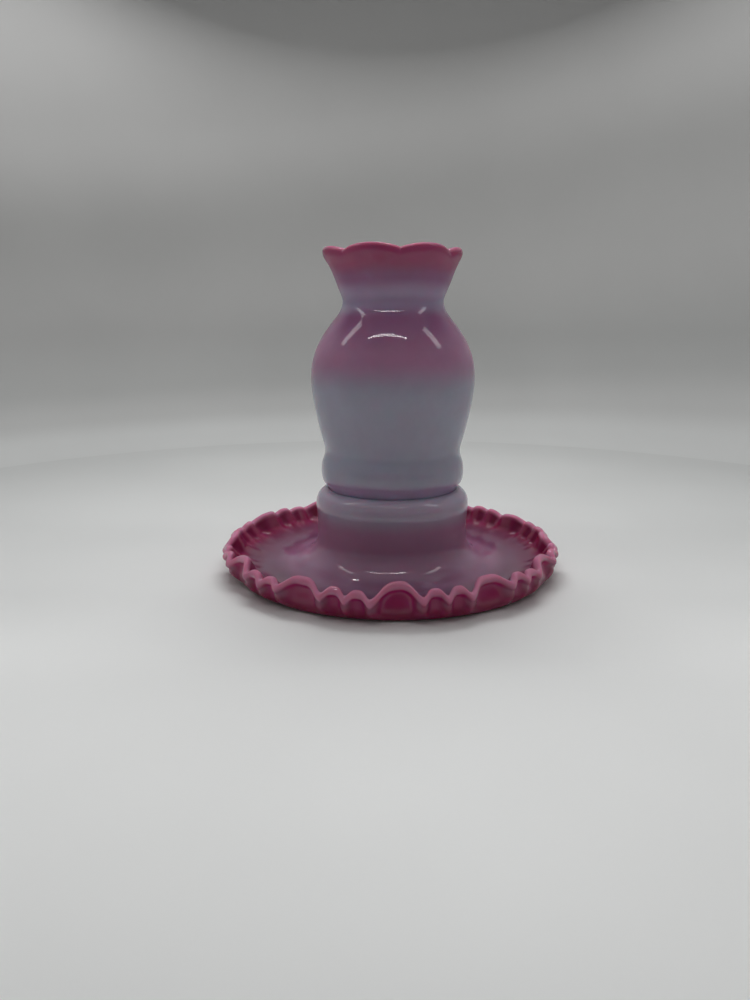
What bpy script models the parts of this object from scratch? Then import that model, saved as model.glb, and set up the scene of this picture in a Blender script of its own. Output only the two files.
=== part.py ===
"""Two-piece art-glass candle lamp: a ruffled saucer base whose raised collar holds a lift-off
vase-shaped shade, with a tealight standing on the collar's floor inside the shade.

Blender 4.5, metres, +Z up. The origin is on the table, on the axis that every piece shares.
Angles run round +Z and start at the front, -Y, so that 90 degrees is +X.
"""

import math

import bmesh
import bpy

MM = 0.001
GAP = 0.3 * MM  # clearance between pieces that touch

# The base, a ruffled saucer round a hollow pedestal that ends in a collar.
SAUCER_RADIUS = 89.0 * MM
GLASS = 3.8 * MM  # pressed wall of the base
COLLAR_RADIUS = 40.4 * MM  # the collar at its widest
COLLAR_TOP = 42.8 * MM
RECESS_RADIUS = 34.5 * MM
RECESS_FLOOR = 34.0 * MM
SAUCER_FLOOR = 4.4 * MM
FOOT_RADIUS = 67.5 * MM
FOOT_WIDTH = 7.0 * MM

# The ruffle: in each period one broad arch, then two small ones.
PERIODS = 12
ARCH_ANGLE = math.radians(1.5)  # the middle of the broad arch nearest the front
LIP_RADIUS = 1.7 * MM
ARCH_LIP = (82.3 * MM, 17.2 * MM)  # lip centres, as (radius, height)
SMALL_ARCH_LIP = (85.6 * MM, 14.9 * MM)
TROUGH_LIP = (SAUCER_RADIUS - LIP_RADIUS, 12.2 * MM)
MEAN_LIP = (84.9 * MM, 14.3 * MM)
# Where the lip turns within half a period, from the broad arch, as shares of a period.
TURNS = ((0.0, ARCH_LIP), (0.245, TROUGH_LIP), (0.372, SMALL_ARCH_LIP), (0.5, TROUGH_LIP))
ARCH_FULLNESS = 1.2  # above 1, arches are rounder than the troughs between them

# The shade, blown glass with a seven-lobed mouth.
SHADE_TOP = 164.6 * MM
SHADE_GLASS = 3.2 * MM
SPIGOT_RADIUS = 33.6 * MM  # the plain tube that stands in the collar
NECK_RADIUS = 25.7 * MM
BELLY_RADIUS = 42.1 * MM
BEAD_RADIUS = 37.4 * MM
MOUTH_RADIUS = 34.4 * MM
LOBES = 7
NOTCH_ANGLE = math.radians(5.7)  # the notch nearest the front
NOTCH_DEPTH = 3.4 * MM
NOTCH_PINCH = 2.2 * MM
FLUTE_START = 146.0 * MM  # below this height the shade is round

# The tealight.
CUP_RADIUS = 19.0 * MM
CUP_HEIGHT = 16.0 * MM
CUP_WALL = 0.45 * MM
WAX_HEIGHT = 13.4 * MM
TAB_RADIUS = 6.2 * MM
TAB_THICKNESS = 0.4 * MM
TAB_NECK_HEIGHT = 3.0 * MM
WICK_RADIUS = 0.8 * MM
WICK_ABOVE_WAX = 6.0 * MM

# Points round each piece. The ruffle has 16 in each period, a multiple of the plain part's count.
BASE_SIDES = 4 * PERIODS
RUFFLE_SIDES = 16 * PERIODS
SHADE_SIDES = 8 * LOBES
TEALIGHT_SIDES = 32


def clear_scene():
    for obj in list(bpy.data.objects):
        bpy.data.objects.remove(obj)


def material(name, colour, roughness, metallic=0.0, transmission=0.0):
    made = bpy.data.materials.new(name)
    made.use_nodes = True
    made.diffuse_color = (*colour, 1.0)
    shader = made.node_tree.nodes["Principled BSDF"]
    shader.inputs["Base Color"].default_value = (*colour, 1.0)
    shader.inputs["Roughness"].default_value = roughness
    shader.inputs["Metallic"].default_value = metallic
    shader.inputs["Transmission Weight"].default_value = transmission
    return made


def add_object(name, mesh_builder, finish):
    """Closes a bmesh into a smooth object with its normals facing out."""
    bmesh.ops.recalc_face_normals(mesh_builder, faces=mesh_builder.faces)
    mesh = bpy.data.meshes.new(name)
    mesh_builder.to_mesh(mesh)
    mesh_builder.free()
    mesh.shade_smooth()
    mesh.set_sharp_from_angle(angle=math.radians(40))
    mesh.materials.append(finish)
    obj = bpy.data.objects.new(name, mesh)
    bpy.context.scene.collection.objects.link(obj)
    return obj


def smooth_line(points, steps):
    """A Catmull-Rom curve through (radius, height) points, with steps pieces between each two."""
    line = []
    padded = [points[0], *points, points[-1]]
    for a, b, c, d in zip(padded, padded[1:], padded[2:], padded[3:]):
        for step in range(steps):
            t = step / steps
            line.append(tuple(
                0.5 * (2 * b[k] + (c[k] - a[k]) * t
                       + (2 * a[k] - 5 * b[k] + 4 * c[k] - d[k]) * t ** 2
                       + (3 * b[k] - a[k] - 3 * c[k] + d[k]) * t ** 3)
                for k in range(2)
            ))
    line.append(points[-1])
    return line


def offset_line(line, distance):
    """The line moved to its right by distance, square to its own direction."""
    moved = []
    for i, (radius, height) in enumerate(line):
        before, after = line[max(i - 1, 0)], line[min(i + 1, len(line) - 1)]
        along = (after[0] - before[0], after[1] - before[1])
        length = math.hypot(*along)
        moved.append((radius + distance * along[1] / length, height - distance * along[0] / length))
    return moved


def arc(centre, radius, start, end, steps):
    """Points on a circle in the (radius, height) plane, from angle start to angle end."""
    return [
        (centre[0] + radius * math.cos(start + (end - start) * i / steps),
         centre[1] + radius * math.sin(start + (end - start) * i / steps))
        for i in range(steps + 1)
    ]


def add_ring(mesh_builder, sides, place, start=0.0):
    """A ring of points from angle start, where place(angle) gives the radius and height."""
    ring = []
    for i in range(sides):
        angle = start + 2 * math.pi * i / sides
        radius, height = place(angle)
        ring.append(mesh_builder.verts.new((radius * math.sin(angle), -radius * math.cos(angle), height)))
    return ring


def join_rings(mesh_builder, first, second):
    """Faces between two rings. One ring may have a whole multiple of the other's points."""
    fine, coarse = (first, second) if len(first) >= len(second) else (second, first)
    ratio = len(fine) // len(coarse)
    for i, corner in enumerate(coarse):
        following = coarse[(i + 1) % len(coarse)]
        edge = [fine[(i * ratio + k) % len(fine)] for k in range(ratio + 1)]
        middle = ratio // 2
        for k in range(middle):
            mesh_builder.faces.new((corner, edge[k], edge[k + 1]))
        mesh_builder.faces.new((corner, edge[middle], edge[middle + 1], following))
        for k in range(middle + 1, ratio):
            mesh_builder.faces.new((following, edge[k], edge[k + 1]))


def close_ring(mesh_builder, ring, height):
    """Closes a ring with a fan to a point on the axis."""
    tip = mesh_builder.verts.new((0.0, 0.0, height))
    for a, b in zip(ring, ring[1:] + ring[:1]):
        mesh_builder.faces.new((tip, a, b))


def turned(line, sides):
    """A closed solid of revolution from a closed outline, or from one that ends on the axis."""
    solid = bmesh.new()
    on_axis = line[0][0] == 0.0
    outline = line[1:-1] if on_axis else line
    rings = [add_ring(solid, sides, lambda angle, point=point: point) for point in outline]
    for a, b in zip(rings, rings[1:]):
        join_rings(solid, a, b)
    if on_axis:
        close_ring(solid, rings[0], line[0][1])
        close_ring(solid, rings[-1], line[-1][1])
    else:
        join_rings(solid, rings[-1], rings[0])
    return solid


def lip_centre(angle):
    """The ruffled lip's centre, as (radius, height), at an angle round the saucer."""
    share = ((angle - ARCH_ANGLE) / (2 * math.pi) * PERIODS) % 1.0
    share = min(share, 1.0 - share)
    for (start, before), (end, after) in zip(TURNS, TURNS[1:]):
        if share <= end:
            break
    arch, trough = (before, after) if before[1] > after[1] else (after, before)
    from_arch = abs(share - (start if arch is before else end)) / (end - start)
    fall = 0.5 - 0.5 * math.cos(math.pi * min(from_arch, 1.0) ** ARCH_FULLNESS)
    return tuple(a + (b - a) * fall for a, b in zip(arch, trough))


def ruffled(point, weight):
    """A place function: the point, moved by a share of the ruffle."""
    def place(angle):
        lip = lip_centre(angle)
        return tuple(p + weight * (a - b) for p, a, b in zip(point, lip, MEAN_LIP))
    return place


def pedestal_line():
    """The pedestal's outer surface, from below the collar down the flare to the saucer's floor."""
    return smooth_line([
        (COLLAR_RADIUS - 0.4 * MM, COLLAR_TOP - 12.5 * MM),
        (COLLAR_RADIUS - 0.6 * MM, SAUCER_FLOOR + 16.5 * MM),
        (COLLAR_RADIUS, SAUCER_FLOOR + 10.8 * MM),
        (COLLAR_RADIUS + 1.9 * MM, SAUCER_FLOOR + 7.3 * MM),
        (COLLAR_RADIUS + 6.0 * MM, SAUCER_FLOOR + 3.0 * MM),
        (COLLAR_RADIUS + 12.0 * MM, SAUCER_FLOOR + 0.5 * MM),
        (FOOT_RADIUS - 6.0 * MM, SAUCER_FLOOR),
    ], 2)


def collar_and_pedestal():
    """The base's upper surface, from the recess floor over the collar to the saucer's floor."""
    recess = [
        (RECESS_RADIUS - 2.0 * MM, RECESS_FLOOR),
        (RECESS_RADIUS - 0.5 * MM, RECESS_FLOOR + 1.2 * MM),
        (RECESS_RADIUS, COLLAR_TOP - 0.8 * MM),
    ]
    collar = smooth_line([
        (RECESS_RADIUS + 0.9 * MM, COLLAR_TOP),
        (COLLAR_RADIUS - 2.6 * MM, COLLAR_TOP - 1.7 * MM),
        (COLLAR_RADIUS - 0.9 * MM, COLLAR_TOP - 3.6 * MM),
        (COLLAR_RADIUS, COLLAR_TOP - 6.8 * MM),
    ], 2)
    return recess + collar + pedestal_line()


def saucer_wall():
    """The saucer's ruffled edge, over the lip and back underneath, as (point, weight).

    The weight is how far a point follows the ruffle."""
    inside = [
        ((74.5 * MM, SAUCER_FLOOR + 1.2 * MM), 0.06),
        ((79.2 * MM, SAUCER_FLOOR + 3.2 * MM), 0.3),
        ((81.8 * MM, SAUCER_FLOOR + 6.0 * MM), 0.7),
    ]
    lip = [
        (point, 1.0)
        for point in arc(MEAN_LIP, LIP_RADIUS, math.radians(165), math.radians(-30), 4)
    ]
    outside = [
        ((85.9 * MM, 9.6 * MM), 0.7),
        ((84.7 * MM, 5.8 * MM), 0.3),
        ((81.6 * MM, 2.6 * MM), 0.06),
    ]
    return inside + lip + outside


def underside():
    """The base's lower surface, from the foot inwards and up into the hollow pedestal."""
    foot = [
        (77.0 * MM, 0.8 * MM),
        (FOOT_RADIUS + FOOT_WIDTH / 2, 0.0),
        (FOOT_RADIUS - FOOT_WIDTH / 2, 0.0),
    ]
    hollow = offset_line(pedestal_line(), GLASS)[::-1]
    ceiling = [
        (COLLAR_RADIUS - GLASS - 1.4 * MM, RECESS_FLOOR - GLASS - 0.6 * MM),
        (COLLAR_RADIUS - GLASS - 3.0 * MM, RECESS_FLOOR - GLASS),
    ]
    return foot + hollow + ceiling


def build_base(finish):
    """One piece of glass: saucer, hollow pedestal, collar and the floor that the tealight stands on."""
    solid = bmesh.new()
    rings = [add_ring(solid, BASE_SIDES, ruffled(point, 0.0), ARCH_ANGLE) for point in collar_and_pedestal()]
    rings += [add_ring(solid, RUFFLE_SIDES, ruffled(*step), ARCH_ANGLE) for step in saucer_wall()]
    rings += [add_ring(solid, BASE_SIDES, ruffled(point, 0.0), ARCH_ANGLE) for point in underside()]
    for a, b in zip(rings, rings[1:]):
        join_rings(solid, a, b)
    close_ring(solid, rings[0], RECESS_FLOOR)
    close_ring(solid, rings[-1], RECESS_FLOOR - GLASS)
    return add_object("base_saucer", solid, finish)


def shade_outline():
    """The shade's outer surface, from the bead's underside up to just below the lip."""
    bead = [
        (SPIGOT_RADIUS, 42.6 * MM),
        (35.0 * MM, 44.8 * MM),
        (36.6 * MM, 48.0 * MM),
        (BEAD_RADIUS, 52.6 * MM),
        (36.8 * MM, 58.4 * MM),
    ]
    belly = [
        (35.2 * MM, 63.2 * MM),
        (36.6 * MM, 69.5 * MM),
        (39.0 * MM, 79.3 * MM),
        (41.1 * MM, 89.7 * MM),
        (BELLY_RADIUS, 99.5 * MM),
        (41.1 * MM, 110.0 * MM),
        (37.1 * MM, 119.9 * MM),
        (30.6 * MM, 129.4 * MM),
    ]
    mouth = [
        (NECK_RADIUS + 0.4 * MM, 135.8 * MM),
        (NECK_RADIUS, 139.0 * MM),
        (28.0 * MM, 146.0 * MM),
        (31.0 * MM, 153.2 * MM),
        (MOUTH_RADIUS - 0.9 * MM, 159.6 * MM),
    ]
    return bead + belly + mouth


def lobed(point):
    """A place function: the point, drawn down and in towards each notch, more so near the lip."""
    radius, height = point
    weight = max(0.0, (height - FLUTE_START) / (SHADE_TOP - FLUTE_START)) ** 1.5

    def place(angle):
        notch = 1.0 - abs(math.sin(LOBES * (angle - NOTCH_ANGLE) / 2)) ** 0.7
        return radius - weight * NOTCH_PINCH * notch, height - weight * NOTCH_DEPTH * notch
    return place


def build_shade(finish):
    """The blown shade: spigot, bead, belly, neck and flared mouth, open at both ends."""
    outside = smooth_line(shade_outline(), 1)
    inside = offset_line(smooth_line(shade_outline()[1:], 1), -SHADE_GLASS)
    foot_height = RECESS_FLOOR + GAP
    tube = [
        (SPIGOT_RADIUS - SHADE_GLASS, foot_height + 1.0 * MM),
        (SPIGOT_RADIUS - SHADE_GLASS + 1.0 * MM, foot_height),
        (SPIGOT_RADIUS - 1.0 * MM, foot_height),
        (SPIGOT_RADIUS, foot_height + 1.0 * MM),
    ]
    lip_radius = SHADE_GLASS / 2
    lip_middle = ((outside[-1][0] + inside[-1][0]) / 2 + 0.9 * MM, SHADE_TOP - lip_radius)
    lip = arc(lip_middle, lip_radius, math.radians(-15), math.radians(170), 4)
    solid = bmesh.new()
    line = tube + outside + lip + inside[::-1]
    rings = [add_ring(solid, SHADE_SIDES, lobed(point)) for point in line]
    for a, b in zip(rings, rings[1:]):
        join_rings(solid, a, b)
    join_rings(solid, rings[-1], rings[0])
    return add_object("shade", solid, finish)


def build_tealight_cup(finish):
    """A drawn aluminium cup with a rolled rim, standing on the recess floor."""
    bottom = RECESS_FLOOR + GAP
    top = bottom + CUP_HEIGHT
    line = [
        (0.0, bottom),
        (CUP_RADIUS - 1.2 * MM, bottom),
        (CUP_RADIUS - 0.4 * MM, bottom + 0.8 * MM),
        (CUP_RADIUS, top - 0.9 * MM),
        *arc((CUP_RADIUS - 0.1 * MM, top - 0.45 * MM), 0.45 * MM, math.radians(-50), math.radians(170), 4),
        (CUP_RADIUS - CUP_WALL, top - 0.9 * MM),
        (CUP_RADIUS - 0.4 * MM - CUP_WALL, bottom + CUP_WALL + 0.8 * MM),
        (CUP_RADIUS - 1.2 * MM - CUP_WALL, bottom + CUP_WALL),
        (0.0, bottom + CUP_WALL),
    ]
    return add_object("tealight_cup", turned(line, TEALIGHT_SIDES), finish)


def build_wick_tab(finish):
    """The tinned-steel disc and neck that hold the wick upright on the cup's bottom."""
    bottom = RECESS_FLOOR + CUP_WALL + 2 * GAP
    bore = WICK_RADIUS + GAP
    line = [
        (bore, bottom),
        (TAB_RADIUS, bottom),
        (TAB_RADIUS, bottom + TAB_THICKNESS),
        (bore + 0.6 * MM, bottom + TAB_THICKNESS),
        (bore + 0.6 * MM, bottom + TAB_NECK_HEIGHT),
        (bore, bottom + TAB_NECK_HEIGHT),
    ]
    return add_object("wick_tab", turned(line, TEALIGHT_SIDES), finish)


def build_tealight_wax(finish):
    """The wax, with a shallow dished top, a bore for the wick and a pocket for its tab."""
    bottom = RECESS_FLOOR + CUP_WALL + 2 * GAP
    top = bottom + WAX_HEIGHT
    bore = WICK_RADIUS + GAP
    edge = CUP_RADIUS - CUP_WALL - GAP
    line = [
        (bore, top - 0.1 * MM),
        (bore, bottom + TAB_NECK_HEIGHT + GAP),
        (bore + 0.6 * MM + GAP, bottom + TAB_NECK_HEIGHT + GAP),
        (bore + 0.6 * MM + GAP, bottom + TAB_THICKNESS + GAP),
        (TAB_RADIUS + GAP, bottom + TAB_THICKNESS + GAP),
        (TAB_RADIUS + GAP, bottom),
        (edge - 1.3 * MM, bottom),
        (edge - 0.45 * MM, bottom + 0.9 * MM),
        (edge - 0.1 * MM, top),
        (edge - 1.4 * MM, top - 0.5 * MM),
        (edge / 2, top - 0.7 * MM),
    ]
    return add_object("tealight_wax", turned(line, TEALIGHT_SIDES), finish)


def build_wick(finish):
    """The wick, from the tab up through the wax."""
    bottom = RECESS_FLOOR + CUP_WALL + 3 * GAP
    top = RECESS_FLOOR + CUP_WALL + 2 * GAP + WAX_HEIGHT + WICK_ABOVE_WAX
    line = [
        (0.0, bottom),
        (WICK_RADIUS, bottom),
        (WICK_RADIUS, top - 0.3 * MM),
        (WICK_RADIUS - 0.3 * MM, top),
        (0.0, top),
    ]
    return add_object("wick", turned(line, TEALIGHT_SIDES // 2), finish)


def main():
    clear_scene()
    rose_glass = material("rose_glass", (0.42, 0.08, 0.16), 0.08, transmission=0.2)
    lavender_glass = material("lavender_glass", (0.34, 0.27, 0.38), 0.08, transmission=0.2)
    aluminium = material("aluminium", (0.80, 0.80, 0.82), 0.25, metallic=1.0)
    tinned_steel = material("tinned_steel", (0.55, 0.55, 0.57), 0.35, metallic=1.0)
    white_wax = material("white_wax", (0.86, 0.84, 0.78), 0.45)
    cotton = material("cotton", (0.82, 0.80, 0.74), 0.9)
    build_base(rose_glass)
    build_shade(lavender_glass)
    build_tealight_cup(aluminium)
    build_wick_tab(tinned_steel)
    build_tealight_wax(white_wax)
    build_wick(cotton)


main()
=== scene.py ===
"""Looks of the two-piece art-glass candle lamp: fine glass surfaces with heat-struck colours, a
detailed tealight, a plain round studio and the camera. Metres, +Z up, -Y towards the camera.
"""

import math
import bmesh
import bpy
import numpy as np
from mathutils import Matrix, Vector


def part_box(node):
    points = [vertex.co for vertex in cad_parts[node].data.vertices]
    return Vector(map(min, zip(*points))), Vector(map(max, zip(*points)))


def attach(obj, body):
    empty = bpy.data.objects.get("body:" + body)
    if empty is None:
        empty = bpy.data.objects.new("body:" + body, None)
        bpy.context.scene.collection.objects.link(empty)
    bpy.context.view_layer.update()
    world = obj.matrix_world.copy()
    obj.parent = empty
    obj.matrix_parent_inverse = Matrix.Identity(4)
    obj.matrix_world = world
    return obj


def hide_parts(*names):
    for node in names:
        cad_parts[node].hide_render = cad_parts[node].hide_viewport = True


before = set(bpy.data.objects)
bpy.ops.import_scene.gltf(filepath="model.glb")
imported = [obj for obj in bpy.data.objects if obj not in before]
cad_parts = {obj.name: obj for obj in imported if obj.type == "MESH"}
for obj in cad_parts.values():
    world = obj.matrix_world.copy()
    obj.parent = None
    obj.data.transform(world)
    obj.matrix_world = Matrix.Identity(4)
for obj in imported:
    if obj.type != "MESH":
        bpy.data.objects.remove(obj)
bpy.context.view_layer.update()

MM = 0.001

# The frame's own sizes, which the shapes below are fitted to.
_, BASE_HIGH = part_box("base_saucer")
SHADE_LOW, SHADE_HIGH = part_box("shade")
CUP_LOW, CUP_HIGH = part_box("tealight_cup")
WAX_LOW, WAX_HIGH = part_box("tealight_wax")
TAB_LOW, TAB_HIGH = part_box("wick_tab")
WICK_LOW, WICK_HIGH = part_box("wick")

# The ruffled lip, a little wider and lower than the CAD model has it.
PERIODS = 12
ARCH_ANGLE = math.radians(1.5)
SAUCER_RADIUS = BASE_HIGH.x + 1.4 * MM
LIP_RADIUS = 2.15 * MM
TROUGH_LIP = (SAUCER_RADIUS - LIP_RADIUS, 10.8 * MM)
ARCH_LIP = (SAUCER_RADIUS - 7.4 * MM, 15.9 * MM)
SMALL_ARCH_LIP = (SAUCER_RADIUS - 4.2 * MM, 13.7 * MM)
MEAN_LIP = (SAUCER_RADIUS - 4.3 * MM, 13.2 * MM)
TURNS = ((0.0, ARCH_LIP), (0.26, TROUGH_LIP), (0.378, SMALL_ARCH_LIP), (0.5, TROUGH_LIP))
ARCH_FULLNESS = 1.6  # above 1, arches are rounder than the troughs between them
SMALL_ARCH_HOLLOW = 0.75
RUFFLE_START = 70.0 * MM
RIM_SHIFT = -1.2 * MM  # towards +X
REAR_RISE = 1.7 * MM
SAUCER_FLOOR = 3.8 * MM
FOOT_RADIUS = 67.5 * MM
FOOT_WIDTH = 7.0 * MM
COLLAR_RADIUS = 40.4 * MM
COLLAR_TOP = BASE_HIGH.z
RECESS_RADIUS = 34.35 * MM
RECESS_FLOOR = SHADE_LOW.z - 0.3 * MM
SEAT_RADIUS = RECESS_RADIUS - 0.18 * MM
BASE_GLASS = 3.1 * MM

# The shade.
LOBES = 7
NOTCH_ANGLE = math.radians(5.7)
NOTCH_DEPTH = 2.3 * MM
NOTCH_PINCH = 2.4 * MM
MOUTH_LEAN = 0.9 * MM
MOUTH_ROLL = 2.1 * MM
SHADE_TOP = SHADE_HIGH.z
BELLY_RADIUS = SHADE_HIGH.x
FLUTE_START = SHADE_TOP - 19.0 * MM
SHADE_GLASS = 3.2 * MM
SPIGOT_RADIUS = 34.1 * MM
BEAD_BOTTOM = 47.0 * MM

# Points round each fine surface.
BASE_SIDES = 48 * PERIODS
SHADE_SIDES = 64 * LOBES
TEALIGHT_SIDES = 128
FINE_STEP = 0.7 * MM

# The camera: a phone's wide lens, held at the height of the shade and tilted down.
CAMERA_PLACE = (0.0, -0.3923, 0.1274)
CAMERA_PITCH = math.radians(-13.11)
CAMERA_YAW = math.radians(1.34)
CAMERA_LENS = 27.04


def spline(points, step=FINE_STEP, start=None, end=None):
    """A smooth curve through points: rows of (radius, height, any further values that go along).

    It is a cubic spline over the chord lengths, with points at most about step apart. start and end
    are its directions there, as (radius, height).
    """
    p = np.array(points, float)
    gaps = np.hypot(*np.diff(p[:, :2], axis=0).T)
    n = len(p)
    system, right = np.zeros((n, n)), np.zeros_like(p)
    for i in range(1, n - 1):
        before, after = gaps[i - 1], gaps[i]
        system[i, i - 1:i + 2] = 1 / before, 2 / before + 2 / after, 1 / after
        right[i] = 3 * ((p[i] - p[i - 1]) / before ** 2 + (p[i + 1] - p[i]) / after ** 2)
    for row, other, gap, given in ((0, 1, gaps[0], start), (n - 1, n - 2, gaps[-1], end)):
        chord = (p[1] - p[0]) if row == 0 else (p[-1] - p[-2])
        system[row, row], system[row, other] = 2, 1
        right[row] = 3 * chord / gap
        if given is not None:
            system[row, row], system[row, other] = 1, 0
            right[row] = chord / gap
            right[row, :2] = np.array(given) / np.hypot(*given)
    slope = np.linalg.solve(system, right)
    pieces = []
    for i, gap in enumerate(gaps):
        t = np.linspace(0, 1, max(2, int(math.ceil(gap / step)) + 1))[:-1, None]
        pieces.append(
            (2 * t ** 3 - 3 * t ** 2 + 1) * p[i] + (t ** 3 - 2 * t ** 2 + t) * gap * slope[i]
            + (3 * t ** 2 - 2 * t ** 3) * p[i + 1] + (t ** 3 - t ** 2) * gap * slope[i + 1])
    return np.vstack([*pieces, p[-1:]])


def arc(centre, radius, start, end, further=(), steps=14):
    """Rows of (radius, height, further values) on a circle, from start to end in degrees."""
    turn = np.radians(np.linspace(start, end, steps + 1))
    rows = [centre[0] + radius * np.cos(turn), centre[1] + radius * np.sin(turn)]
    rows += [np.full(steps + 1, value) for value in further]
    return np.array(rows).T


def offset(line, distance):
    """A line moved to its right by distance, with its further values kept."""
    along = np.gradient(line[:, :2], axis=0)
    along /= np.hypot(*along.T)[:, None]
    moved = line.copy()
    moved[:, 0] += distance * along[:, 1]
    moved[:, 1] -= distance * along[:, 0]
    return moved


def new_object(name, places, faces, outward=False):
    """A smooth-shaded object in the scene. outward turns all of its faces to the outside first."""
    mesh = bpy.data.meshes.new(name)
    mesh.from_pydata(places, [], faces)
    if outward:
        solid = bmesh.new()
        solid.from_mesh(mesh)
        bmesh.ops.recalc_face_normals(solid, faces=solid.faces)
        solid.to_mesh(mesh)
        solid.free()
    mesh.shade_smooth()
    obj = bpy.data.objects.new(name, mesh)
    bpy.context.scene.collection.objects.link(obj)
    return obj


def round_solid(name, radius, height, closed):
    """A solid from two arrays with a row for each ring and a column for each angle.

    A closed outline joins its last ring to its first. An open one ends on the axis at both ends.
    """
    rings, sides = radius.shape
    turn = 2 * math.pi * np.arange(sides) / sides
    places = np.stack([radius * np.sin(turn), -radius * np.cos(turn), height], axis=-1)
    places = places.reshape(-1, 3)
    ring_pairs = rings if closed else rings - 1
    i, j = np.meshgrid(np.arange(ring_pairs), np.arange(sides), indexing="ij")
    ring, next_ring, beside = i * sides, (i + 1) % rings * sides, (j + 1) % sides
    quads = np.stack([ring + j, ring + beside, next_ring + beside, next_ring + j], -1)
    faces = quads.reshape(-1, 4).tolist()
    if not closed:
        tips = len(places)
        places = np.vstack([places, [[0, 0, height[0].mean()], [0, 0, height[-1].mean()]]])
        last = (rings - 1) * sides
        for k in range(sides):
            faces.append([tips, (k + 1) % sides, k])
            faces.append([tips + 1, last + k, last + (k + 1) % sides])
    return new_object(name, places.tolist(), faces, outward=True)


def length_along(line):
    """How far along a line each of its points is."""
    return np.concatenate([[0], np.cumsum(np.hypot(*np.diff(line[:, :2], axis=0).T))])


def add_value(obj, name, values):
    """Stores one number for each point of a mesh, for its material to read.

    The two points on an open outline's axis, which come last, take those of the rings beside them.
    """
    attribute = obj.data.attributes.new(name, "FLOAT", "POINT")
    numbers = values.ravel()
    beyond = len(obj.data.vertices) - numbers.size
    numbers = np.concatenate([numbers, numbers[[0, -1]][:beyond]])
    attribute.data.foreach_set("value", numbers.astype(np.float32))


def eased(x):
    """0 to 1 for x from 0 to 1, with a soft start and end."""
    x = np.clip(x, 0, 1)
    return x * x * (3 - 2 * x)


# ---------------------------------------------------------------- the ruffled base

def ruffle(turn):
    """For angles round the saucer: how far out and up the lip's centre is from MEAN_LIP, and how
    much of an arch it is there.
    """
    share = ((turn - ARCH_ANGLE) / (2 * math.pi) * PERIODS) % 1.0
    share = np.minimum(share, 1.0 - share)
    radius, height, arch = np.zeros_like(share), np.zeros_like(share), np.zeros_like(share)
    for (start, before), (end, after) in zip(TURNS, TURNS[1:]):
        here = (share >= start) & (share <= end)
        arch_first = before[1] > after[1]
        top, bottom = (before, after) if arch_first else (after, before)
        from_arch = np.abs(share[here] - (start if arch_first else end)) / (end - start)
        fall = 0.5 - 0.5 * np.cos(math.pi * np.clip(from_arch, 0, 1) ** ARCH_FULLNESS)
        radius[here] = top[0] + (bottom[0] - top[0]) * fall - MEAN_LIP[0]
        height[here] = top[1] + (bottom[1] - top[1]) * fall - MEAN_LIP[1]
        arch[here] = (1 - fall) * (1.0 if top is ARCH_LIP else SMALL_ARCH_HOLLOW)
    return radius, height, arch


def pedestal_line():
    """The pedestal's outer surface, down to the saucer's floor, in base_outline's rows."""
    return [
        (COLLAR_RADIUS - 0.4 * MM, COLLAR_TOP - 12.5 * MM, 0, 0),
        (COLLAR_RADIUS - 0.6 * MM, SAUCER_FLOOR + 17.0 * MM, 0, 0),
        (COLLAR_RADIUS - 0.1 * MM, SAUCER_FLOOR + 11.8 * MM, 0, 0),
        (COLLAR_RADIUS + 1.4 * MM, SAUCER_FLOOR + 8.4 * MM, 0, 0),
        (COLLAR_RADIUS + 4.2 * MM, SAUCER_FLOOR + 5.1 * MM, 0, 0),
        (COLLAR_RADIUS + 8.2 * MM, SAUCER_FLOOR + 2.5 * MM, 0, 0),
        (COLLAR_RADIUS + 13.6 * MM, SAUCER_FLOOR + 0.7 * MM, 0, 0),
        (FOOT_RADIUS - 6.0 * MM, SAUCER_FLOOR, 0, 0),
    ]


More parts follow.
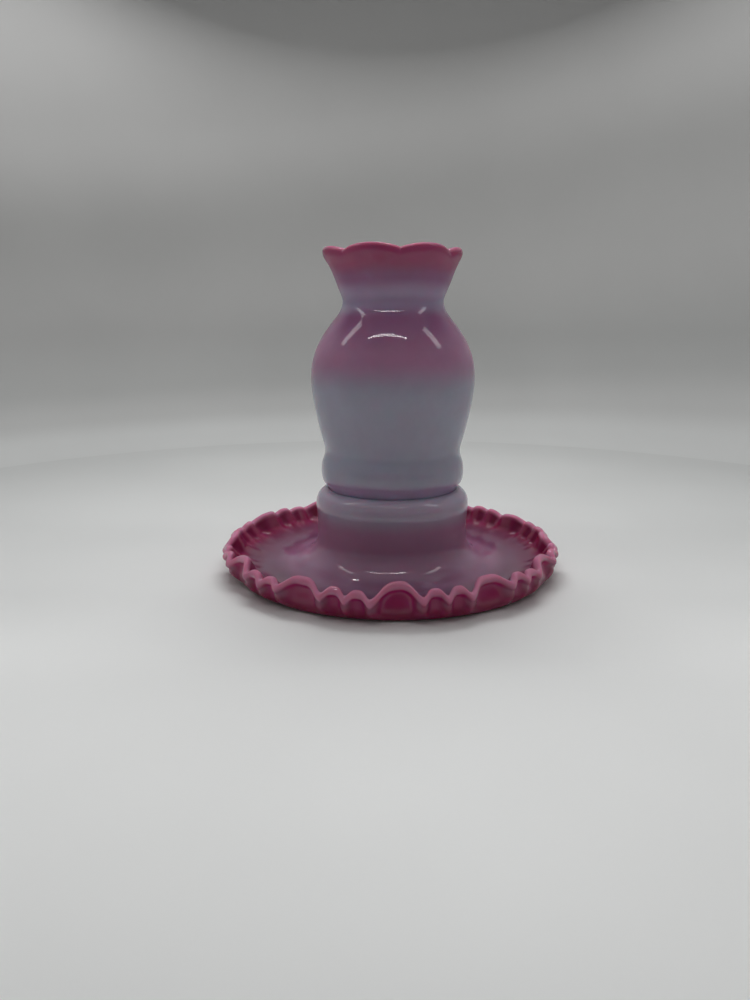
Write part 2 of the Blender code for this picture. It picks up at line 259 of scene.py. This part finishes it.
def base_outline():
    """The whole outline of the base's section, from the recess floor's middle over the collar, the
    lip and the foot to the pedestal's ceiling.

    Rows are (radius, height, weight, tuck): the weight is how far a point follows the ruffled lip,
    and the tuck is how far it draws in under an arch.
    """
    recess = spline([
        (2.0 * MM, RECESS_FLOOR, 0, 0),
        (16.0 * MM, RECESS_FLOOR, 0, 0),
        (RECESS_RADIUS - 2.0 * MM, RECESS_FLOOR, 0, 0),
    ], 2 * MM)
    bend = 1.6 * MM
    corner = arc((RECESS_RADIUS - bend, RECESS_FLOOR + bend), bend, -90, 0, (0, 0), 6)
    bore_top = (SEAT_RADIUS, COLLAR_TOP + 1.1 * MM, 0, 0)
    collar_to_lip = spline([
        (SEAT_RADIUS + 0.08 * MM, COLLAR_TOP + 1.2 * MM, 0, 0),
        (RECESS_RADIUS + 1.4 * MM, COLLAR_TOP + 0.7 * MM, 0, 0),
        (COLLAR_RADIUS - 3.0 * MM, COLLAR_TOP - 0.4 * MM, 0, 0),
        (COLLAR_RADIUS - 1.2 * MM, COLLAR_TOP - 2.4 * MM, 0, 0),
        (COLLAR_RADIUS - 0.25 * MM, COLLAR_TOP - 4.8 * MM, 0, 0),
        (COLLAR_RADIUS, COLLAR_TOP - 7.4 * MM, 0, 0),
        *pedestal_line(),
        (66.8 * MM, SAUCER_FLOOR + 0.4 * MM, 0, 0),
        (72.2 * MM, SAUCER_FLOOR + 1.6 * MM, 0.04, 0),
        (77.0 * MM, SAUCER_FLOOR + 3.7 * MM, 0.2, 0.2 * MM),
        (80.8 * MM, SAUCER_FLOOR + 6.4 * MM, 0.62, 0.7 * MM),
    ], start=(1, -0.3), end=(0.45, 1.0))
    lip = arc(MEAN_LIP, LIP_RADIUS, 168, -66, (1.0, 0), 20)
    outside = spline([
        (MEAN_LIP[0] + 0.3 * MM, 10.3 * MM, 0.95, 1.2 * MM),
        (MEAN_LIP[0] + 0.5 * MM, 8.5 * MM, 0.8, 1.7 * MM),
        (MEAN_LIP[0] + 0.3 * MM, 6.4 * MM, 0.55, 1.4 * MM),
        (MEAN_LIP[0] - 0.5 * MM, 4.0 * MM, 0.25, 0.7 * MM),
        (83.6 * MM, 1.9 * MM, 0.05, 0.2 * MM),
        (82.0 * MM, 0.6 * MM, 0, 0),
        (78.0 * MM, 0.4 * MM, 0, 0),
        (FOOT_RADIUS + FOOT_WIDTH / 2, 0.0, 0, 0),
    ], end=(-1, 0))
    foot = np.array([(FOOT_RADIUS - FOOT_WIDTH / 2, 0.0, 0, 0)])
    hollow = offset(spline(pedestal_line(), start=(0, -1), end=(1, 0)), BASE_GLASS)[::-1]
    ceiling_height, bend = RECESS_FLOOR - BASE_GLASS, 2.2 * MM
    ceiling = [
        *arc((hollow[-1, 0] - bend, ceiling_height - bend), bend, 0, 90, (0, 0), 6),
        (16.0 * MM, ceiling_height, 0, 0),
        (2.0 * MM, ceiling_height, 0, 0),
    ]
    return np.vstack([
        recess, corner, [bore_top], collar_to_lip, lip, outside, foot, hollow, ceiling])


def make_base():
    line = base_outline()
    turn = 2 * math.pi * np.arange(BASE_SIDES) / BASE_SIDES
    drawn_in, lifted, arch = ruffle(turn)
    # The crimps are made by hand: no two arches are quite alike, and the rear ones are shallower.
    uneven = 0.74 + 0.26 * np.cos(turn)
    uneven += 0.07 * np.sin(3 * turn + 1.1) + 0.05 * np.sin(5 * turn + 0.4)
    wave = 0.35 * np.sin(2 * turn + 0.7)
    wave += 0.4 * np.sin(11 * turn - 0.3) + 0.35 * np.sin(19 * turn + 0.5)
    rim_height = wave * MM + REAR_RISE * (1 - np.cos(turn)) / 2
    weight, tuck = line[:, 2:3], line[:, 3:4]
    hollow = eased((arch - 0.26) / 0.45)
    out = drawn_in * uneven + RIM_SHIFT * np.sin(turn)
    radius = line[:, 0:1] + weight * out - tuck * (hollow - 0.35)
    height = line[:, 1:2] + weight * (lifted * uneven + rim_height)
    obj = round_solid("base_glass", radius, height, closed=False)
    run = length_along(line)
    lip_at = run[np.argmax(line[:, 1] * (line[:, 0] > RUFFLE_START))]
    from_lip = (run - lip_at)[:, None]
    add_value(obj, "from_lip", np.repeat(from_lip, BASE_SIDES))
    # The glass is deep red in the hollow under each arch, partly its own colour and partly painted
    # shade under the overhanging lip. The ribs between stay pink to their ends; below them, the
    # bottom of the outer wall takes the same red, and the red is painted darker lower down as
    # painted shade under the saucer.
    under = eased((from_lip - 3.8 * MM) / (1.4 * MM))
    rib_end = eased((from_lip - 9.5 * MM) / (3.0 * MM))
    add_value(obj, "hollow", under * np.maximum(hollow, rib_end))
    return obj


# ---------------------------------------------------------------- the shade

def shade_outline():
    """The shade's outer surface, from the top of its spigot to the lip, as (radius, height)."""
    return spline([
        (SPIGOT_RADIUS, 40.0 * MM),
        (SPIGOT_RADIUS, 43.0 * MM),
        (SPIGOT_RADIUS, 44.2 * MM),
        (34.5 * MM, 45.0 * MM),
        (35.5 * MM, 46.3 * MM),
        (36.6 * MM, 48.0 * MM),
        (37.4 * MM, 52.8 * MM),
        (36.9 * MM, 58.0 * MM),
        (35.5 * MM, 62.6 * MM),
        (36.5 * MM, 69.2 * MM),
        (39.0 * MM, 79.3 * MM),
        (41.1 * MM, 89.7 * MM),
        (BELLY_RADIUS, 100.0 * MM),
        (41.1 * MM, 110.0 * MM),
        (37.2 * MM, 119.9 * MM),
        (30.4 * MM, 129.6 * MM),
        (26.3 * MM, 135.6 * MM),
        (25.6 * MM, 139.0 * MM),
        (27.4 * MM, 144.6 * MM),
        (30.6 * MM, 152.2 * MM),
        (33.0 * MM, 157.2 * MM),
        (34.6 * MM, 160.0 * MM),
        (35.1 * MM, 162.0 * MM),
    ], start=(0, 1), end=(0, 1))


def make_shade():
    outside = shade_outline()
    inside = offset(outside[outside[:, 1] > BEAD_BOTTOM], -SHADE_GLASS)
    foot, edge = SHADE_LOW.z, SHADE_GLASS / 2
    outer, inner = SPIGOT_RADIUS, SPIGOT_RADIUS - SHADE_GLASS
    spigot = np.vstack([
        spline([(inner, 44.5 * MM), (inner, 40.0 * MM), (inner, foot + 1.5 * MM)]),
        arc((outer - edge, foot + edge), edge, 180, 360, (), 12),
        spline([(outer, foot + 2.5 * MM), (outer, 37.0 * MM), (outer, 39.4 * MM)]),
    ])
    lip = arc((outside[-1, 0] - MOUTH_ROLL, SHADE_TOP - MOUTH_ROLL), MOUTH_ROLL, 0, 170, (), 16)
    line = np.vstack([spigot, outside, lip, inside[::-1]])
    turn = 2 * math.pi * np.arange(SHADE_SIDES) / SHADE_SIDES
    rise = np.clip((line[:, 1:2] - FLUTE_START) / (SHADE_TOP - FLUTE_START), 0, 1) ** 1.6
    # Sharp at the lip, each notch widens into a soft flute below it.
    notch = 1 - np.abs(np.sin(LOBES * (turn - NOTCH_ANGLE) / 2)) ** (0.75 + 1.6 * (1 - rise))
    radius = line[:, 0:1] - NOTCH_PINCH * rise ** 0.6 * notch - MOUTH_LEAN * rise * np.sin(turn)
    height = line[:, 1:2] - rise * NOTCH_DEPTH * notch
    obj = round_solid("shade_glass", radius, height, closed=True)
    run = length_along(line)
    add_value(obj, "from_lip", np.repeat(run - run[np.argmax(line[:, 1])], SHADE_SIDES))
    return obj


# ---------------------------------------------------------------- materials

class Nodes:
    """A new material, with short ways to add and join its nodes."""

    def __init__(self, name):
        self.material = bpy.data.materials.new(name)
        self.material.use_nodes = True
        self.tree = self.material.node_tree
        self.shader = self.tree.nodes["Principled BSDF"]
        self.place = self.add("TexCoord").outputs["Object"]

    def add(self, kind, links=(), **settings):
        """A node whose settings are its own properties or its sockets' values."""
        node = self.tree.nodes.new("ShaderNode" + kind)
        for name, value in settings.items():
            if hasattr(node, name):
                setattr(node, name, value)
            else:
                node.inputs[name.replace("_", " ").title()].default_value = value
        for socket, source in links:
            self.join(source, node.inputs[socket])
        return node

    def join(self, source, target):
        self.tree.links.new(source, target)

    def attribute(self, name):
        return self.add("Attribute", attribute_name=name).outputs["Fac"]

    def value(self, operation, *inputs):
        """A Math node on numbers and sockets."""
        node = self.add("Math", operation=operation)
        for socket, given in zip(node.inputs, inputs):
            self.give(socket, given)
        return node.outputs[0]

    def give(self, socket, given):
        """Sets a socket to a number or a colour, or joins another node's output to it."""
        if isinstance(given, (int, float)):
            socket.default_value = given
        elif isinstance(given, tuple):
            socket.default_value = (*given, 1)
        else:
            self.join(given, socket)

    def ramp(self, source, stops, low, high):
        """A colour ramp whose stops are (place, colour) on the scale that low and high end."""
        share = self.add("MapRange", [("Value", source)], from_min=low, from_max=high)
        node = self.add("ValToRGB", [("Fac", share.outputs["Result"])])
        node.color_ramp.interpolation = "EASE"
        elements = node.color_ramp.elements
        while len(elements) < len(stops):
            elements.new(0.5)
        for element, (place, colour) in zip(elements, stops):
            element.position = (place - low) / (high - low)
            element.color = (*colour, 1)
        return node.outputs["Color"]

    def blend(self, source, low, high, first, last):
        """A colour that goes from first to last while source goes from low to high."""
        return self.ramp(source, [(low, first), (high, last)], low, high)

    def noise(self, place, scale, detail=2.0, roughness=0.5):
        node = self.add(
            "TexNoise", [("Vector", place)], scale=scale, detail=detail, roughness=roughness)
        return node.outputs["Fac"]

    def mix(self, kind, amount, first, second):
        node = self.add("Mix", data_type="RGBA", blend_type=kind)
        for socket, given in zip((0, 6, 7), (amount, first, second)):
            self.give(node.inputs[socket], given)
        return node.outputs[2]

    def colour(self, source):
        self.join(source, self.shader.inputs["Base Color"])

    def roughness(self, grain, least, spread):
        rough = self.value("ADD", least, self.value("MULTIPLY", grain, spread))
        self.join(rough, self.shader.inputs["Roughness"])

    def bump(self, height, strength, distance):
        node = self.add("Bump", [("Height", height)], strength=strength, distance=distance)
        self.join(node.outputs["Normal"], self.shader.inputs["Normal"])

    def finish(self, constants=()):
        """Sets the shader's constants, each by its socket's name, and gives the material."""
        for name, value in dict(constants).items():
            self.shader.inputs[name].default_value = value
        return self.material


def srgb(red, green, blue):
    """A colour given as 0 to 255 on a screen, as the linear light that shaders take."""
    return tuple(
        c / 255 / 12.92 if c / 255 <= 0.04045 else ((c / 255 + 0.055) / 1.055) ** 2.4
        for c in (red, green, blue)
    )


LAVENDER = srgb(166, 165, 183)
PALE_LAVENDER = srgb(176, 163, 183)
NECK_LAVENDER = srgb(168, 147, 178)
MAUVE = srgb(175, 127, 160)
PEDESTAL_MAUVE = srgb(176, 136, 164)
FLOOR_MAUVE = srgb(112, 72, 98)
DEEP_MAUVE = srgb(150, 95, 138)
ROSE = srgb(160, 64, 110)
DUSTY_ROSE = srgb(148, 76, 108)
DEEP_ROSE = srgb(130, 26, 72)
PALE_PINK = srgb(190, 124, 154)
# The flare's mauve, painted lighter than the floor's as painted light.
LIT_FLARE_MAUVE = srgb(144, 103, 132)
FLOOR_ROSE = srgb(112, 58, 86)
# The next two: deep red for the arch hollows, then the same red painted darker as painted shade.
PLUM = srgb(168, 26, 100)
SHADED_PLUM = srgb(138, 14, 72)


def opal_glass(name, stops, low, high):
    """Glossy milky glass, whose colour runs in bands along from_lip, the metres from its lip."""
    nodes = Nodes(name)
    place = nodes.place
    from_lip = nodes.attribute("from_lip")
    drift = nodes.value("SUBTRACT", nodes.noise(place, 14, 1), 0.5)
    drifted = nodes.value("ADD", from_lip, nodes.value("MULTIPLY", drift, 6 * MM))
    colour = nodes.ramp(drifted, stops, low, high)
    # Deep red for the arch hollows and the foot of the outer wall, painted darker further from the
    # lip as painted shade.
    plum_and_shade = nodes.ramp(from_lip, [(9 * MM, PLUM), (14 * MM, SHADED_PLUM)], 0, 20 * MM)
    colour = nodes.mix("MIX", nodes.attribute("hollow"), colour, plum_and_shade)
    cloud = nodes.blend(nodes.noise(place, 60, 4, 0.6), 0.25, 0.75, (0.7,) * 3, (1.25,) * 3)
    nodes.colour(nodes.mix("MULTIPLY", 0.16, colour, cloud))
    nodes.roughness(nodes.noise(place, 90, 5, 0.65), 0.02, 0.06)
    fine_ripple = nodes.value("MULTIPLY", nodes.noise(place, 150, 1), 0.22)
    nodes.bump(nodes.value("ADD", nodes.noise(place, 40, 1), fine_ripple), 0.25, 0.4 * MM)
    return nodes.finish({
        "IOR": 1.5,
        "Subsurface Weight": 1.0,
        "Subsurface Radius": (1.0, 0.25, 0.35),
        "Subsurface Scale": 5 * MM,
    })


def base_material():
    """Rose at the ruffle, mauve over the saucer's floor and lavender at the collar."""
    return opal_glass("base_opal_glass", [
        (-100 * MM, LAVENDER),
        (-80 * MM, PALE_LAVENDER),
        (-73 * MM, PALE_LAVENDER),
        (-64 * MM, PEDESTAL_MAUVE),
        (-50 * MM, PEDESTAL_MAUVE),
        # The flare's mauve is painted lighter than the floor's: painted light, as the lamps leave
        # the flare in shade.
        (-38 * MM, LIT_FLARE_MAUVE),
        (-26 * MM, FLOOR_MAUVE),
        (-16 * MM, FLOOR_ROSE),
        (-8 * MM, DEEP_ROSE),
        (-3.5 * MM, DEEP_ROSE),
        (-1.2 * MM, PALE_PINK),
        (2.4 * MM, PALE_PINK),
        (6 * MM, DUSTY_ROSE),
        (11 * MM, DEEP_ROSE),
    ], -120 * MM, 80 * MM)


def shade_material():
    """Rose at the mouth, lavender in the neck, mauve over the shoulder and lavender below it."""
    bands = [
        (0.6, PALE_PINK), (2.4, ROSE), (9.0, ROSE), (17.0, DEEP_MAUVE),
        (26.0, NECK_LAVENDER), (30.0, NECK_LAVENDER), (38.0, DEEP_MAUVE), (60.0, MAUVE),
        # The last band, pinker than the lavender above it, is painted reflection of the mauve
        # saucer on the underside of the bead.
        (78.0, LAVENDER), (121.0, LAVENDER), (126.0, NECK_LAVENDER),
    ]
    outside = [(-place * MM, colour) for place, colour in reversed(bands)]
    inside = [(place * MM, colour) for place, colour in bands]
    return opal_glass("shade_opal_glass", outside + inside, -140 * MM, 140 * MM)


def grained(name, grain, colours, roughness, bump=None, stretch=None, constants=()):
    """A material with one fine grain in its colour, its roughness and its bump.

    grain is a noise's scale, detail and roughness, roughness is (least, spread), and bump is
    (strength, distance). stretch squeezes the grain along each axis.
    """
    nodes = Nodes(name)
    place = nodes.place
    if stretch:
        place = nodes.add("Mapping", [("Vector", place)], scale=stretch).outputs["Vector"]
    noise = nodes.noise(place, *grain)
    nodes.colour(nodes.blend(noise, 0.3, 0.7, *colours))
    nodes.roughness(noise, *roughness)
    if bump:
        nodes.bump(noise, *bump)
    return nodes.finish(constants)


def aluminium_material():
    return grained(
        "drawn_aluminium", (160, 3), [(0.72, 0.72, 0.74), (0.86, 0.86, 0.88)], (0.2, 0.2),
        bump=(0.25, 0.1 * MM), stretch=(1, 1, 14), constants={"Metallic": 1.0})


def wax_material():
    return grained(
        "paraffin_wax", (380, 4, 0.6), [srgb(226, 221, 206), srgb(242, 239, 230)], (0.3, 0.25),
        bump=(0.3, 0.2 * MM), constants={
            "Subsurface Weight": 0.5,
            "Subsurface Radius": (1.0, 0.8, 0.6),
            "Subsurface Scale": 2 * MM,
        })


def tinned_steel_material():
    return grained(
        "tinned_steel", (900, 3), [(0.45, 0.45, 0.46), (0.65, 0.65, 0.66)], (0.25, 0.25),
        constants={"Metallic": 1.0})


def cotton_material():
    return grained(
        "waxed_cotton", (2600, 3), [srgb(205, 196, 172), srgb(240, 235, 220)], (0.6, 0.3),
        bump=(0.6, 0.1 * MM))


# ---------------------------------------------------------------- the tealight

def plain_round(name, line, closed):
    """A turned piece from an outline of (radius, height) rows."""
    shape = (len(line), TEALIGHT_SIDES)
    radius, height = (np.broadcast_to(line[:, k:k + 1], shape) for k in (0, 1))
    return round_solid(name, radius, height, closed)


def make_cup():
    """The drawn cup, with its rolled rim and rounded foot."""
    low, high = CUP_LOW.z, CUP_HIGH.z
    wall = rim = 0.45 * MM
    outer = CUP_HIGH.x - 0.35 * MM
    inner = outer - wall
    line = np.vstack([
        [(2 * MM, low), (outer - 6 * MM, low)],
        arc((outer - 1.4 * MM, low + 1.0 * MM), 1.0 * MM, -90, 0, (), 8),
        spline([(outer - 0.38 * MM, low + 1.2 * MM), (outer, high - 1.0 * MM)]),
        arc((outer - 0.1 * MM, high - rim), rim, -50, 170, (), 14),
        spline([(inner, high - 1.0 * MM), (inner - 0.36 * MM, low + wall + 1.2 * MM)]),
        arc((inner - 1.4 * MM, low + wall + 1.0 * MM), 0.9 * MM, 0, -90, (), 8),
        [(outer - 6 * MM, low + wall), (2 * MM, low + wall)],
    ])
    return plain_round("tealight_cup_foil", line, closed=False)


def make_wax():
    """The wax, dished towards the wick, with a small rise where it wets the wick and the cup."""
    low, high = WAX_LOW.z, WAX_HIGH.z
    outer = WAX_HIGH.x
    bore = 1.1 * MM
    top = spline([
        (outer, high),
        (outer - 0.5 * MM, high - 0.25 * MM),
        (outer - 1.6 * MM, high - 0.5 * MM),
        (outer * 0.55, high - 0.7 * MM),
        (bore + 2.2 * MM, high - 0.75 * MM),
        (bore + 0.35 * MM, high - 0.3 * MM),
        (bore, high - 0.1 * MM),
    ])
    # Underneath, it is hollow where the wick holder's disc and neck stand in it.
    neck, disc = bore + 0.9 * MM, TAB_HIGH.x + 0.3 * MM
    neck_top, disc_top = TAB_HIGH.z + 0.3 * MM, low + 0.7 * MM
    line = np.vstack([
        top,
        [(bore, neck_top), (neck, neck_top), (neck, disc_top), (disc, disc_top), (disc, low)],
        [(outer - 1.3 * MM, low), (outer - 0.45 * MM, low + 0.9 * MM)],
    ])
    return plain_round("tealight_wax_body", line, closed=True)


def make_tab():
    """The wick holder: a disc with a short neck that grips the wick."""
    low, high = TAB_LOW.z, TAB_HIGH.z
    bore, neck, thick = 1.1 * MM, 1.7 * MM, 0.4 * MM
    line = np.vstack([
        [(bore, low)],
        arc((TAB_HIGH.x - thick / 2, low + thick / 2), thick / 2, -90, 90, (), 8),
        arc((neck + 0.4 * MM, low + thick + 0.4 * MM), 0.4 * MM, 270, 180, (), 6),
        [(neck, high - 0.15 * MM), (neck - 0.15 * MM, high), (bore, high)],
    ])
    return plain_round("wick_tab_disc", line, closed=True)


def make_wick():
    """A plaited wick: three strands wound round each other."""
    low, high = WICK_LOW.z, WICK_HIGH.z
    strand, orbit, pitch = 0.42 * MM, 0.36 * MM, 4.2 * MM
    steps, sides = 120, 14
    places, faces = [], []
    for k in range(3):
        first = len(places)
        for i in range(steps + 1):
            height = low + strand + (high - low - 2 * strand) * i / steps
            turn = 2 * math.pi * ((height - low) / pitch + k / 3)
            fray = 1 + 0.5 * eased((height - high) / (1.6 * MM) + 1)
            x, y = orbit * fray * math.cos(turn), orbit * fray * math.sin(turn)
            for j in range(sides):
                around = 2 * math.pi * j / sides
                across, deep = strand * math.cos(around), strand * math.sin(around)
                places.append((x + across, y + deep, height))
        for i in range(steps):
            for j in range(sides):
                a, b = first + i * sides + j, first + i * sides + (j + 1) % sides
                faces.append((a, b, b + sides, a + sides))
        for end, height, order in ((first, low, -1), (first + steps * sides, high, 1)):
            tip = len(places)
            ring = np.array(places[end:end + sides])
            places.append((*ring[:, :2].mean(0), height))
            for j in range(sides):
                faces.append((tip, end + j, end + (j + 1) % sides)[::order])
    return new_object("wick_strands", places, faces)


# ---------------------------------------------------------------- stage, lights and camera

STUDIO_RADIUS = 0.56
STUDIO_HEIGHT = 0.85
STUDIO_BEND = 0.12
STUDIO_SIDES = 96
BEND_STEPS = 16
WALL_START = 0.5 * MM


def studio_material():
    """Matt pale paper with painted light and shade: greyer half way up the wall, a floor brightest
    a little in front of the lamp and darker towards and behind it and at its front edge, and a wall
    darkest on the side behind the camera.
    """
    nodes = Nodes("pale_paper")
    split = nodes.add("SeparateXYZ", [("Vector", nodes.place)]).outputs
    # The wall's bands of grey are painted light and shade; they rise a little from left to right.
    slope = nodes.value("MULTIPLY", nodes.value("MINIMUM", split["Z"], 0.25), 0.56)
    height = nodes.value("SUBTRACT", split["Z"], nodes.value("MULTIPLY", split["X"], slope))
    wall = nodes.ramp(height, [
        (0.0, (0.59, 0.60, 0.595)),
        (0.012, (0.58, 0.59, 0.585)),
        (0.035, (0.49, 0.495, 0.49)),
        (0.07, (0.43, 0.435, 0.43)),
        (0.16, (0.455, 0.455, 0.45)),
        (0.27, (0.39, 0.39, 0.385)),
        (0.37, (0.49, 0.49, 0.485)),
        (0.48, (0.57, 0.57, 0.565)),
    ], 0, 0.5)
    # The floor's brightness is painted: a pool of light a little in front of the lamp, and painted
    # shade behind it and at the front edge.
    floor = nodes.ramp(split["Y"], [
        (-0.46, (0.44, 0.445, 0.44)),
        (-0.24, (0.90, 0.91, 0.905)),
        (-0.13, (0.87, 0.88, 0.875)),
        (-0.04, (0.72, 0.73, 0.725)),
        (0.08, (0.62, 0.63, 0.625)),
        (0.25, (0.55, 0.56, 0.555)),
    ], -0.5, 0.5)
    on_wall = nodes.value("GREATER_THAN", split["Z"], WALL_START)
    painted_light_tone = nodes.mix("MIX", on_wall, floor, wall)
    # Painted shade: the wall is darker on the side behind the camera.
    front = nodes.ramp(split["Y"], [(-0.50, (0.6,) * 3), (0.0, (1.0,) * 3)], -0.6, 0.6)
    painted_light_tone = nodes.mix("MULTIPLY", on_wall, painted_light_tone, front)
    mottle = nodes.blend(nodes.noise(nodes.place, 4, 3), 0.3, 0.7, (0.97,) * 3, (1.03,) * 3)
    nodes.colour(nodes.mix("MULTIPLY", 1.0, painted_light_tone, mottle))
    return nodes.finish({"Roughness": 0.6, "Specular IOR Level": 0.2})


def make_stage():
    """A small round studio: a pale floor that sweeps up into a wall all round."""
    line = [(0.0, 0.0), (0.12, 0.0), (STUDIO_RADIUS - STUDIO_BEND, 0.0)]
    for i in range(1, BEND_STEPS + 1):
        turn = math.radians(90 * i / BEND_STEPS)
        line.append((
            STUDIO_RADIUS - STUDIO_BEND * (1 - math.sin(turn)),
            STUDIO_BEND * (1 - math.cos(turn))))
    line.append((STUDIO_RADIUS, STUDIO_HEIGHT))
    places, faces = [], []
    for i in range(STUDIO_SIDES):
        turn = 2 * math.pi * i / STUDIO_SIDES
        places += [(r * math.cos(turn), r * math.sin(turn), height) for r, height in line]
        here, beside = i * len(line), (i + 1) % STUDIO_SIDES * len(line)
        faces += [
            (here + k, beside + k, beside + k + 1, here + k + 1) for k in range(len(line) - 1)]
    studio = new_object("studio", places, faces)
    studio.data.materials.append(studio_material())


STRIP_BEADS = 15


def area_light(name, place, rotation, size, power):
    """A rectangular lamp, which shines down when it isn't turned."""
    data = bpy.data.lights.new(name, "AREA")
    data.shape = "RECTANGLE"
    data.size, data.size_y = size
    data.energy = power
    light = bpy.data.objects.new(name, data)
    light.location = place
    light.rotation_euler = rotation
    bpy.context.scene.collection.objects.link(light)
    return light


def map_range(tree, source, from_low, from_high, to_low, to_high):
    node = tree.nodes.new("ShaderNodeMapRange")
    ends = ("From Min", "From Max", "To Min", "To Max")
    for end, number in zip(ends, (from_low, from_high, to_low, to_high)):
        node.inputs[end].default_value = number
    tree.links.new(source, node.inputs["Value"])
    return node.outputs["Result"]


def strip_light(name, place, size, power, turn=0.0):
    """A strip of lamps, turned by so many degrees: bright beads on a dimmer line."""
    light = area_light(name, place, (0, 0, math.radians(turn)), size, power)
    light.data.use_nodes = True
    tree = light.data.node_tree
    along = tree.nodes.new("ShaderNodeSeparateXYZ")
    tree.links.new(tree.nodes.new("ShaderNodeNewGeometry").outputs["Parametric"], along.inputs[0])
    wave = tree.nodes.new("ShaderNodeMath")
    wave.operation = "PINGPONG"
    wave.inputs[1].default_value = 0.5 / STRIP_BEADS
    tree.links.new(along.outputs["X"], wave.inputs[0])
    beads = map_range(tree, wave.outputs[0], 0.18 / STRIP_BEADS, 0.26 / STRIP_BEADS, 0.12, 1.9)
    tree.links.new(beads, tree.nodes["Emission"].inputs["Strength"])


def soft_light(name, place, target, size, power, spread=180.0, mirrored=True):
    """A soft panel that faces target. If it isn't mirrored, it leaves no highlight on glass."""
    facing = (Vector(place) - Vector(target)).to_track_quat("Z", "Y").to_euler()
    light = area_light(name, place, facing, size, power)
    light.data.spread = math.radians(spread)
    light.visible_glossy = mirrored


def make_lights():
    """A soft panel high behind the lamp, a dim one on each side, two strips and the open top."""
    middle, glow = (0, 0, 0.12), (0.07, 0.22)
    soft_light("rear_panel", (0, 0.30, 0.58), (0, 0, 0.05), (0.60, 0.16), 2.5, mirrored=False)
    soft_light("left_glow", (-0.38, 0.01, 0.50), middle, glow, 0.02, spread=70.0)
    soft_light("right_glow", (0.38, -0.06, 0.50), middle, glow, 0.02, spread=70.0)
    strip_light("front_strip", (-0.055, -0.213, 0.52), (0.38, 0.025), 0.25, -8.0)
    strip_light("rear_strip", (-0.03, 0.17, 0.52), (0.32, 0.03), 0.3)
    world = bpy.data.worlds.new("soft_room")
    world.use_nodes = True
    tree = world.node_tree
    split = tree.nodes.new("ShaderNodeSeparateXYZ")
    direction = tree.nodes.new("ShaderNodeTexCoord").outputs["Generated"]
    tree.links.new(direction, split.inputs[0])
    background = tree.nodes["Background"]
    fade = map_range(tree, split.outputs["Y"], -0.5, 0.5, 0.15, 0.5)
    tree.links.new(fade, background.inputs["Strength"])
    background.inputs["Color"].default_value = (1, 1, 1, 1)
    bpy.context.scene.world = world


def make_camera():
    data = bpy.data.cameras.new("camera")
    data.lens = CAMERA_LENS
    data.sensor_width = 36.0
    camera = bpy.data.objects.new("camera", data)
    camera.location = CAMERA_PLACE
    camera.rotation_euler = (math.pi / 2 + CAMERA_PITCH, 0, CAMERA_YAW)
    bpy.context.scene.collection.objects.link(camera)
    bpy.context.scene.camera = camera


def finish_piece(obj, body, node, material):
    """Gives a piece its material and its body, and hides the CAD node it stands for."""
    obj.data.materials.append(material)
    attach(obj, body)
    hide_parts(node)


make_camera()
make_stage()
make_lights()
finish_piece(make_base(), "base", "base_saucer", base_material())
finish_piece(make_shade(), "shade", "shade", shade_material())
finish_piece(make_cup(), "tealight", "tealight_cup", aluminium_material())
finish_piece(make_wax(), "tealight", "tealight_wax", wax_material())
finish_piece(make_tab(), "tealight", "wick_tab", tinned_steel_material())
finish_piece(make_wick(), "tealight", "wick", cotton_material())
bpy.context.scene.view_settings.view_transform = "Standard"
